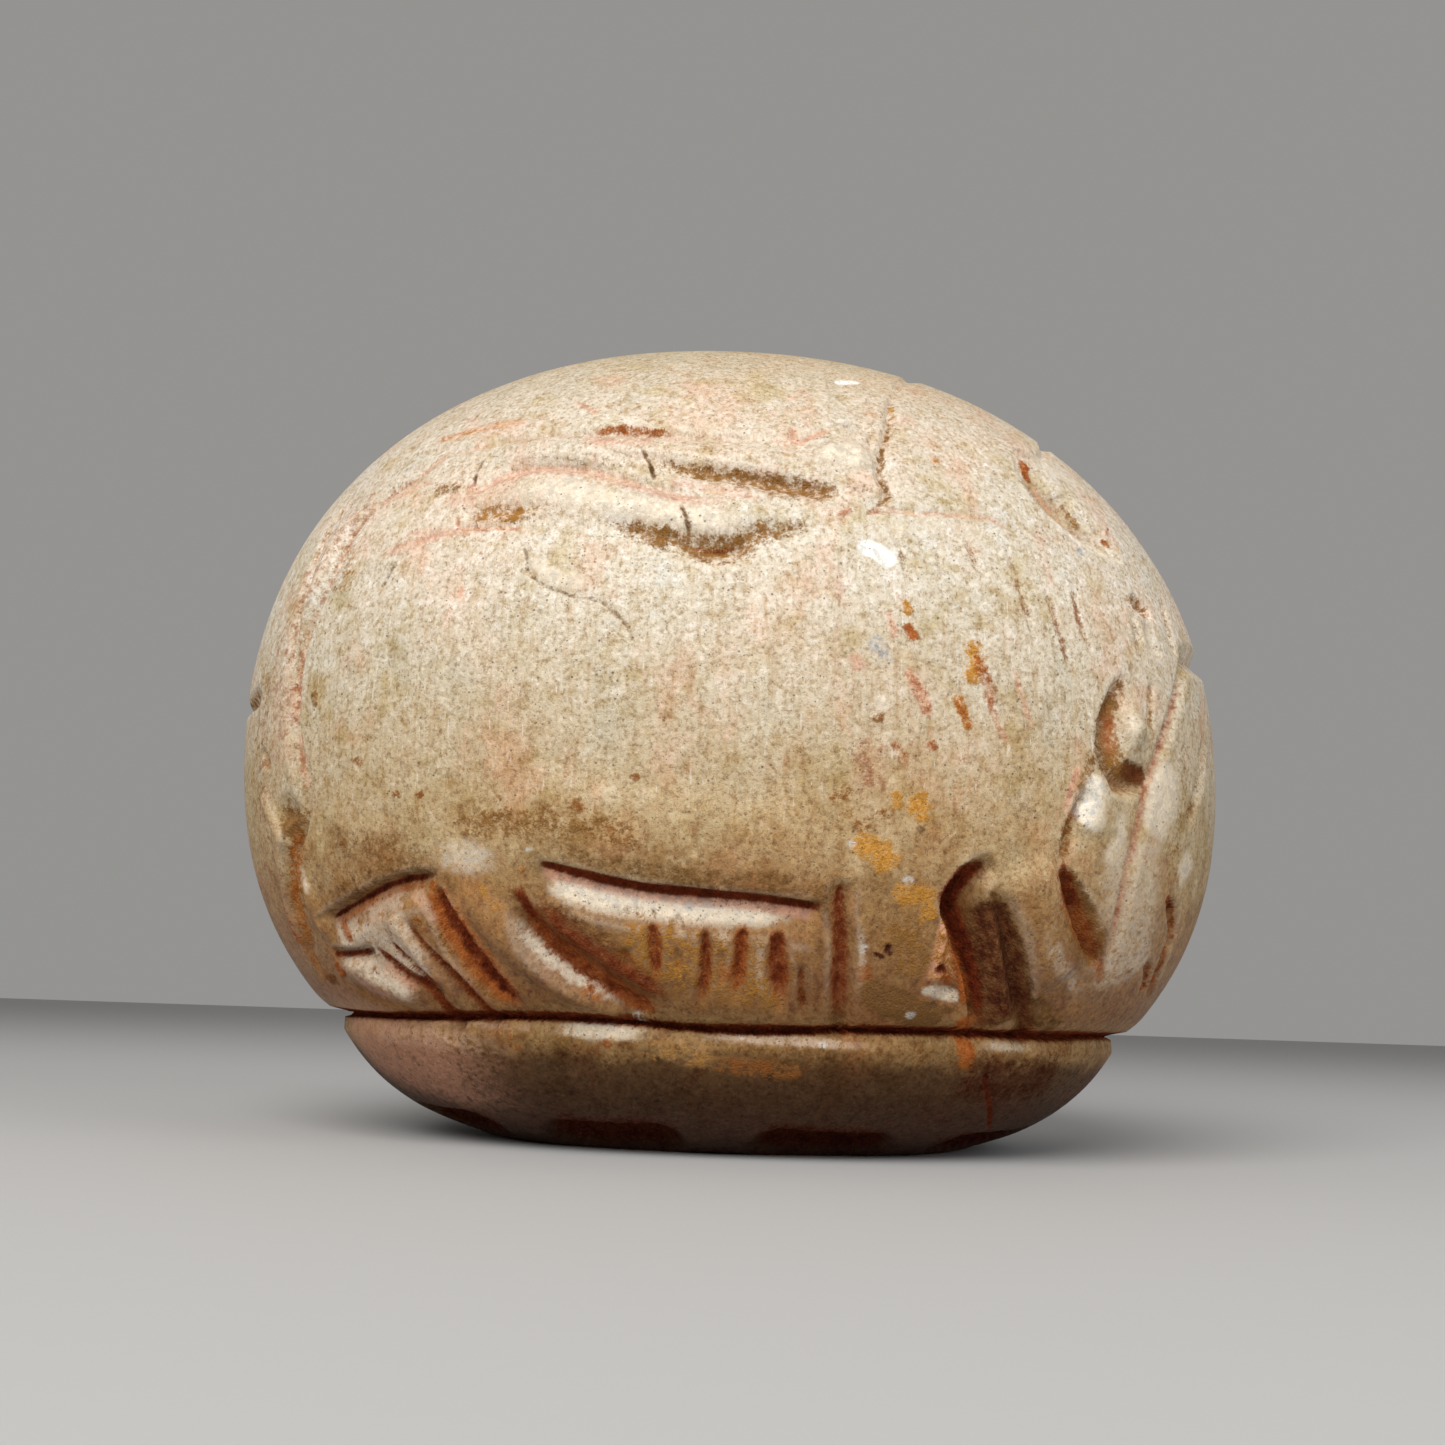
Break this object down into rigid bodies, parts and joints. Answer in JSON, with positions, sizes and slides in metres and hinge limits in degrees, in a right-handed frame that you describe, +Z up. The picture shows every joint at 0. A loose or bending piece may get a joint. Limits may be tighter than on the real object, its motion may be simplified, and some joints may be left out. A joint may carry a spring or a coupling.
{
  "type": "scarab seal bead amulet",
  "caption": "Egg-shaped carved stone beetle bead: smooth folded wing cases, hatched legs over a groove, shallow convex base with a sunk seal face, bored lengthwise for a string.",
  "frame": {"origin": "centre of the small flat on the underside, under the middle of the bead", "axes": "+X to the beetle's head, along the string bore; +Z up through its back; the side in the picture faces -Y"},
  "size_m": [0.0601, 0.0456, 0.0492],
  "materials": {
    "stone": "warm cream to tan stone, satin on the worn domes and matt in the cuts, with red-brown earth left in the carving, salmon veins and fine dark specks"
  },
  "bodies": {
    "root": {"scarab_bead": "stone"}
  },
  "joints": []
}
